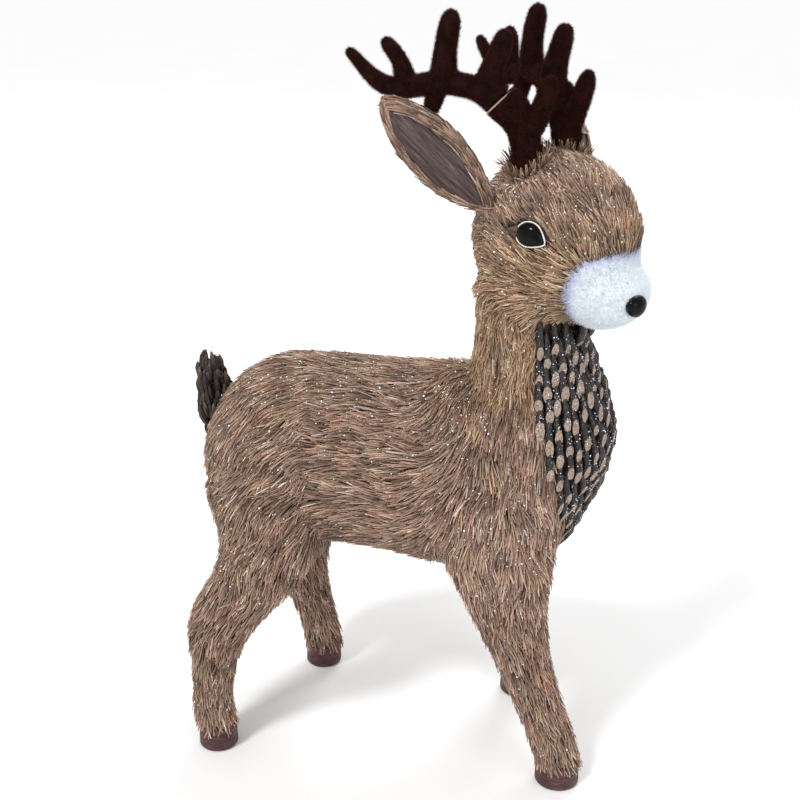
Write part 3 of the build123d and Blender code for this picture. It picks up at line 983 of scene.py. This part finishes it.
def muzzle(material, rng):
    """White plush: a soft pad under short fibres, bluish where it meets the straw."""
    points, tris = wrapped(["muzzle", "head_straw", "head_core"], 2.0, 20)
    white, edge = linear((0.94, 0.965, 0.985)), linear((0.84, 0.85, 0.94))

    def shade(places):
        depth = plush_depth(body_to_head(places)) + rng.normal(0, 1.5, len(places))
        inside = smoothstep(-1.0, 9.0, depth)
        return edge + (white - edge) * inside[:, None]

    sink = 2.6 * smoothstep(6.0, -3.0, plush_depth(body_to_head(points)))
    points = points - point_normals(Skin(points, tris)) * sink[:, None]
    body = piece("muzzle_pad", points, [], tris, material, "plush", tints=shade(points))
    cut_off(body, head_to_body((33.0, 0.0, -38.0)), (1.0, 0.0, -0.2))
    cut_off(body, head_to_body((0.0, 0.0, -1.0)), (0.0, 0.0, -1.0))
    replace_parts(body, "muzzle")
    pad = Skin(points, tris)
    roots, normals = pad.sample(PLUSH_FIBRES, rng, lambda p: plush_depth(body_to_head(p)) > -0.6)
    away = unit(roots - head_to_body(NOSE_CENTRE))
    lean = unit(normals + 0.9 * away + rng.normal(0, 0.4, roots.shape))
    at_edge = smoothstep(4.0, 0.0, plush_depth(body_to_head(roots)))[:, None]
    length = rng.uniform(1.6, 3.4, (len(roots), 1)) * (1 + 0.9 * at_edge)
    arrays = hair_arrays(roots - normals * 0.4, roots + lean * length, 0.18, rng)
    tints = np.repeat(shade(roots), 4, axis=0)
    piece("muzzle_fibres", *arrays, material, "plush", smooth=False, tints=tints)


def cut_off(obj, place, keep):
    """Cuts a closed piece with a plane through place, given in body millimetres, closes the cut, and
    keeps the side that keep points to in the head's frame."""
    normal = turn_to_body(unit(keep))
    bm = bmesh.new()
    bm.from_mesh(obj.data)
    everything = bm.verts[:] + bm.edges[:] + bm.faces[:]
    plane = {"plane_co": Vector(place * MM + ORIGIN), "plane_no": Vector(normal)}
    bmesh.ops.bisect_plane(bm, geom=everything, clear_inner=True, **plane)
    bmesh.ops.holes_fill(bm, edges=[e for e in bm.edges if e.is_boundary])
    bm.to_mesh(obj.data)
    bm.free()


def antler_tuft(side, skin, straw, rng):
    """Straw standing up round the foot of an antler, some of it dark."""
    count = TUFT_STRANDS
    foot = np.array((-12.0, 24.0, 54.0))
    stem = unit(SOCKET_ROOT - (-10.0, 24.0, 50.0))
    across = unit(np.cross(stem, (1.0, 0.0, 0.0)))
    out = around(rng.uniform(0, 2 * np.pi, count), across, np.cross(stem, across))
    start = foot + out * rng.uniform(11.0, 16.0, (count, 1))
    start, _ = skin.nearest(head_to_body(mirrored(start, side)))
    aim = unit(stem * rng.uniform(0.5, 1.2, (count, 1)) + out * 0.30 + rng.normal(0, 0.30, (count, 3)))
    aim = turn_to_body(mirrored(aim, side))
    length = rng.uniform(6, 17, (count, 1, 1))
    line = (start - aim)[:, None] + aim[:, None] * length * ALONG_STRAND[:, None]
    ups = turn_to_body(mirrored(np.repeat(out[:, None], len(ALONG_STRAND), axis=1), side))
    widths = rng.uniform(0.75, 1.2, (count, 1)) * STRAND_TAPER
    tone = np.where(rng.random((count, 1)) < 0.35, (0.30, 0.22, 0.20), (1.0, 1.0, 0.95))
    tints = straw_tints(count, rng, tone)
    strand_piece(f"{side}_antler_tuft", line, ups, widths, tints, straw)


def antlers(head_skin, velvet, lip, straw, rng):
    """Flocked antlers: base stubs on the head, beams on their own bodies."""
    for side in ("left", "right"):
        rim = head_to_body(mirrored(SOCKET_RIM, side))
        inward = unit(head_to_body(mirrored(SOCKET_ROOT, side)) - rim)
        for part, body in (("base", "deer"), ("beam", f"{side}_antler")):
            node = f"{side}_antler_{part}"
            points, tris = wrapped([node], 1.1, 4)
            form = piece(f"{node}_form", points, [], tris, velvet, "antler_flock", body=body)
            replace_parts(form, node)
            flock(node, Skin(points, tris), rim, inward, velvet, body, rng)
        antler_tuft(side, head_skin, straw, rng)
        across = unit(np.cross(inward, (0.0, 1.0, 0.2)))
        circle = around(full_turn(40), across, np.cross(inward, across))
        path = rim + inward * 0.6 + LIP_RADIUS * circle
        piece(f"{side}_socket_lip", *ring(path, inward, 0.6), [], lip, "antler_flock")


def flock(node, skin, rim, inward, velvet, body, rng):
    """Short fibres over an antler part, but none on the peg or in the socket."""
    roots, normals = skin.sample(ANTLER_FIBRES, rng)
    offset = roots - rim
    along = dot(offset, inward)[:, 0]
    radius = np.linalg.norm(offset - inward * along[:, None], axis=1)
    open_air = (radius >= SOCKET_CLEAR) | (along <= -1.0) | (along >= SOCKET_DEPTH)
    roots, normals = roots[open_air], normals[open_air]
    lean = unit(normals + rng.normal(0, 0.35, roots.shape))
    length = rng.uniform(0.8, 2.4, (len(roots), 1))
    arrays = hair_arrays(roots - normals * 0.2, roots + lean * length, 0.13, rng)
    piece(f"{node}_flock", *arrays, velvet, "antler_flock", body=body, smooth=False)


def ear_axes(side):
    """Along, across and facing directions of an ear, drawn on the left, in the head's frame."""
    along = unit(EAR_TIPS[side])
    facing = unit(EAR_FACING[side] - along * np.dot(EAR_FACING[side], along))
    return along, np.cross(facing, along), facing


def ear_half_width(x, length, width):
    """Half the ear's width at x: a leaf with a blunt tip."""
    share = np.clip(x / length, 0.0, 1.0)
    return width / 2 * np.sin(np.pi * share ** 1.10) ** 0.66


def ear_place(side, x, y, rise):
    """A point of the cupped ear, rise above its inner face, in body millimetres."""
    along, across, facing = ear_axes(side)
    radius = EAR_CUP - rise
    turn = np.asarray(y) * np.where(np.asarray(y) > 0, EAR_FRONT_SHARE[side], 1.0) / EAR_CUP
    height = EAR_CUP - radius * np.cos(turn)
    local = EAR_ROOT + np.multiply.outer(x, along)
    local = local + np.multiply.outer(radius * np.sin(turn), across) + np.multiply.outer(height, facing)
    return head_to_body(mirrored(local, side))


def ear_facing(side, y):
    """The inner face's normal at y across the ear, in body directions."""
    _, across, facing = ear_axes(side)
    turn = np.asarray(y) / EAR_CUP
    return turn_to_body(mirrored(around(turn, facing, -across), side))


def ears(husk, straw, rng):
    for side in ("left", "right"):
        ear_husk(side, husk, rng)
        ear_straw(side, straw, rng)


def ear_husk(side, material, rng):
    """The bark inside the ear, creased along its grain."""
    length = np.linalg.norm(EAR_TIPS[side])
    rows, columns = 64, 28
    folds = rng.normal(0, 1, (3, columns + 1))
    row = np.arange(rows + 1)
    x = (4 + (length - 10) * row / rows)[:, None]
    half = np.maximum(ear_half_width(x, length, EAR_WIDTH - 2), 0.5)
    y = half * (2 * np.arange(columns + 1) / columns - 1)
    crease = 0.30 * folds[row * 2 // rows % 3] * np.sin(np.pi * row / rows)[:, None]
    layers = [ear_place(side, x, y, rise) for rise in (0.5 + crease, -0.9)]
    grain = np.stack(np.broadcast_arrays(x, y, 40.0 if side == "left" else 0.0), axis=-1)
    width = columns + 1
    firsts = [i * width + j for i in range(rows) for j in range(columns)]
    front = [(a, a + 1, a + width + 1, a + width) for a in firsts]
    faces, edge = closed_slab(front, y.size)
    quads = facing_out(faces + edge, side)
    points = np.concatenate(layers).reshape(-1, 3)
    obj = piece(f"{side}_ear_bark", points, quads, [], material, "husk")
    add_grain(obj, np.concatenate((grain, grain)))
    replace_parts(obj, f"{side}_ear_husk")


def ear_straw(side, material, rng):
    """Straw over the ear's back and round its rim, all lying towards the tip."""
    length = np.linalg.norm(EAR_TIPS[side])
    back, rim = EAR_BACK_STRANDS, EAR_RIM_STRANDS
    count = back + rim
    x0 = np.concatenate((rng.uniform(-8, length - 12, back), rng.uniform(-8, length - 9, rim)))
    run = rng.uniform(9, 17, count)
    run = np.minimum(run, length + rng.uniform(-3, 1.5, count) - x0)
    x = x0[:, None] + run[:, None] * ALONG_STRAND
    half = ear_half_width(np.clip(x, 0, length), length, EAR_WIDTH)
    across = np.concatenate((rng.uniform(-1, 1, back), np.sign(rng.uniform(-1, 1, rim))))
    front = across[back:] > 0
    rim_inset = rng.uniform(-1.5, 1.0, rim) + rng.uniform(0, 11.0, rim) * front
    inset = np.concatenate((np.zeros(back), rim_inset))
    y = across[:, None] * (half - inset[:, None]) + rng.normal(0, 1.0, (count, 1)) * ALONG_STRAND
    rise = np.concatenate((rng.uniform(-4.8, -1.6, back), rng.uniform(-1.5, 2.4, rim)))[:, None]
    line = ear_place(side, x, y, rise + 0 * x)
    ups = ear_facing(side, y) * np.where(rise[..., None] < -1.55, -1.0, 1.0)
    widths = rng.uniform(0.75, 1.25, (count, 1)) * np.array((0.8, 1.0, 1.0, 0.6))
    tints = straw_tints(count, rng)
    obj = strand_piece(f"{side}_ear_strands", line, ups, widths, tints, material, ridge=0.42)
    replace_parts(obj, f"{side}_ear_straw")


def bib(skin, bark, cut, sparkle, rng):
    """Columns of dark twigs down the throat and chest, each cut on the slant at its foot."""
    sides, rings = 8, 5
    points, quads, ends, feet = [], [], [], []
    step, row_pitch, radius = 7.2, 19.5, 3.15
    share = np.linspace(0, 1, rings)[:, None]
    for column, row in itertools.product(range(-11, 12), range(11)):
        turn = column * step + rng.normal(0, 0.35)
        top_z = BIB_TOP + 8 - row_pitch * (row + 0.5 * (column % 2)) + rng.normal(0, 1.6)
        foot_z = top_z - rng.uniform(22.0, 26.5)
        if abs(turn) > bib_reach(foot_z + 6) or foot_z < BIB_REACH[0][0] - 4:
            continue
        top, top_out = skin.round_neck(turn, top_z)
        foot, foot_out = skin.round_neck(turn, foot_z)
        top = top - top_out * 2.6
        foot = foot + foot_out * rng.uniform(2.4, 3.8)
        bend = rng.normal(0, 0.6, 3)
        path = top + (foot - top) * share + bend * np.sin(np.pi * share)
        size = radius * rng.uniform(0.80, 1.12) * (1 + rng.normal(0, 0.06, (rings, sides)))
        twig, faces = tube(path, size, sides, foot_out)
        slope = dot(twig[-sides:] - foot, foot_out)
        twig[-sides:] -= unit(foot - top) * slope * rng.uniform(1.5, 2.2)
        first = len(points)
        points.extend(twig)
        quads.extend(tuple(v + first for v in f) for f in faces)
        ends.append([first + (rings - 1) * sides + i for i in range(sides)])
        ends.append([first + i for i in range(sides)][::-1])
        feet.append((foot, foot_out))
    mesh = bpy.data.meshes.new("bib_bark")
    mesh.from_pydata((np.array(points) * MM + ORIGIN).tolist(), [], quads + ends)
    mesh.materials.append(bark)
    mesh.materials.append(cut)
    for index, face in enumerate(mesh.polygons):
        face.use_smooth = index < len(quads)
        face.material_index = int(index >= len(quads))
    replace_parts(rider("bib_bark", mesh, "deer"), "bib_twigs")
    bib_glitter(skin, np.array(feet), sparkle, rng)


def bib_glitter(skin, feet, sparkle, rng):
    """Small flakes over the lower halves of the bib's twigs. feet holds each foot and its normal."""
    count = BIB_FLAKES
    pick = rng.integers(0, len(feet), count)
    along = rng.uniform(0, 14, (count, 1)) * np.array((0.0, 0.0, 1.0))
    spread = rng.normal(0, 1.3, (count, 3))
    found, out = skin.nearest(feet[pick, 0] + along + spread)
    rise = rng.uniform(3.6, 5.6, (count, 1))
    normals = unit(feet[pick, 1] + spread * 0.4)
    flakes("glitter_bib", found + out * rise, normals, (0.22, 0.62), rng, sparkle)


def tail(material, rng):
    """An upright bunch of pointed dark cone scales."""
    points, quads, tris, tints = [], [], [], []
    sides = 6
    axis = unit(TAIL_TOP - TAIL_ROOT)
    dark, worn = linear((0.115, 0.075, 0.06)), linear((0.50, 0.42, 0.36))
    share = np.array((0.0, 0.3, 0.65, 0.9, 1.0))
    for level in range(9):
        rise = -14 + level * 8.0
        belly = math.sin(math.pi * (level + 1.2) / 11.5)
        count = 11 + int(7 * belly)
        for i in range(count):
            turn = 2 * math.pi * (i + 0.5 * (level % 2)) / count + rng.normal(0, 0.12)
            out = np.array((math.cos(turn), math.sin(turn), 0.0))
            start = TAIL_ROOT + axis * (rise + rng.normal(0, 2.0)) + out * (1 + 10.5 * belly)
            length = rng.uniform(11, 18)
            lean = rng.uniform(0.20, 0.65) - 0.07 * level
            end = start + unit(axis + out * lean) * length
            path = start + (end - start) * share[:, None] + out * (1.2 * np.sin(np.pi * share))[:, None]
            size = np.array((1.8, 2.7, 2.4, 1.2, 0.3)) * rng.uniform(0.75, 1.15)
            form, faces = tube(path, size, sides, out + (0, 0, 0.1))
            first = len(points)
            last = first + 4 * sides
            points.extend(form)
            quads.extend(tuple(v + first for v in f) for f in faces)
            for k in range(1, sides - 1):
                tris.append((first, first + k + 1, first + k))
                tris.append((last, last + k, last + k + 1))
            wear = rng.uniform(0.1, 1.0) ** 2
            for mark in (0.0, 0.05, 0.2, 0.6, 1.0):
                tints.extend([dark + (worn - dark) * mark * wear] * sides)
    points, tints = np.array(points), np.array(tints)
    obj = piece("tail_scales", points, quads, tris, material, "cone_twig", smooth=False, tints=tints)
    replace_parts(obj, "tail_twigs")


def dress_cad_nodes(shade_sheet):
    """Materials for the CAD nodes that stay: the hooves, and the parts held inside."""
    finishes = {"hoof": hoof_material(), "core": foam_material(), "rod": steel_material()}
    finishes["dowel"] = dowel_material()
    finishes["wire"] = finishes["rod"]
    # The tail's core takes the painted shade too, so that it reads dark through the gaps between the
    # scales.
    finishes["tail_core"] = shade_sheet
    for name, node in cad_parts.items():
        for ending, material in finishes.items():
            if name.endswith(ending):
                node.data.materials.clear()
                node.data.materials.append(material)


# ---- studio -----------------------------------------------------------------------------------
def aimed(name, data, place, target):
    """A lamp or camera at place that looks at target, both in metres from the body's origin."""
    obj = placed(name, data)
    obj.location = ORIGIN + np.array(place)
    aim = Vector(ORIGIN + np.array(target)) - obj.location
    obj.rotation_euler = aim.to_track_quat("-Z", "Y").to_euler()
    return obj


def studio():
    scene = bpy.context.scene
    scene.view_settings.view_transform = "Standard"
    scene.world = bpy.data.worlds.new("studio")
    scene.world.use_nodes = True
    sky = scene.world.node_tree.nodes["Background"].inputs
    sky["Color"].default_value = (1.0, 1.0, 1.0, 1.0)
    sky["Strength"].default_value = 0.62
    # Each lamp's kind, place, angle or size, and power.
    lamps = {
        "key": ("SUN", (-0.9, -1.7, 2.6), math.radians(12), 1.75),
        "fill": ("AREA", (1.7, -1.5, 1.2), 1.4, 12.0),
        "back": ("AREA", (0.2, 1.6, 2.4), 1.2, 30.0),
    }
    for name, (kind, place, spread, power) in lamps.items():
        data = bpy.data.lights.new(name, kind)
        setattr(data, "angle" if kind == "SUN" else "size", spread)
        data.energy = power
        aimed(name, data, place, (0.0, 0.0, 0.3))
    mesh = bpy.data.meshes.new("floor")
    size = 60.0
    corners = [(-size, -size, 0.0), (size, -size, 0.0), (size, size, 0.0), (-size, size, 0.0)]
    mesh.from_pydata(corners, [], [(0, 1, 2, 3)])
    mesh.materials.append(floor_material())
    placed("floor", mesh)


def camera():
    data = bpy.data.cameras.new("camera")
    data.lens = 58.5
    data.sensor_width = 36.0
    obj = aimed("camera", data, (0.2273, -0.9388, 0.6420), (0.0, -0.027, 0.300))
    bpy.context.scene.camera = obj


# ---- build ------------------------------------------------------------------------------------
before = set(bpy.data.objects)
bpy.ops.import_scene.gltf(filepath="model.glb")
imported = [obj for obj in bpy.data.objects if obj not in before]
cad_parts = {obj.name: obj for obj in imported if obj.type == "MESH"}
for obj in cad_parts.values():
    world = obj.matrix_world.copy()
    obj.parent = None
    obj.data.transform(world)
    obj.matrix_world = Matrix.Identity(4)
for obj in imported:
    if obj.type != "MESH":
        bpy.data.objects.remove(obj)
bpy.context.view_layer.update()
torso_low, torso_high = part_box("torso_straw")
ORIGIN = np.array((torso_low.x + TORSO_BACK * MM, (torso_low.y + torso_high.y) / 2, 0.0))
rng = np.random.default_rng(SEED)

studio()
camera()
# Painted shade: the dark colour under the straw and on the tail's core.
shade_sheet = painted_shade_material()
dress_cad_nodes(shade_sheet)

body_nodes = [n for n in sorted(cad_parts) if n.endswith(("_straw", "_core", "_hoof", "_eye"))]
body_nodes = [n for n in body_nodes if "ear" not in n and n != "tail_core"]
skin = Skin(*wrapped(body_nodes, 3.2, 8))
under_layer(skin, shade_sheet)

straw = straw_material()
lines, ups = body_straw(skin, straw, rng)
sparkle = glitter_material()
glitter(lines, ups, rng, sparkle)

eyes(black_material(), rim_material(), husk_material("eye_bark", EYE_BARK_TONES))
ears(husk_material("ear_bark", EAR_BARK_TONES), straw, rng)
muzzle(plush_material(), rng)
nose(black_material())
antlers(skin, velvet_material(), lip_material(), straw, rng)
bib(skin, bark_material(), cut_material(), sparkle, rng)
tail(cone_material(), rng)
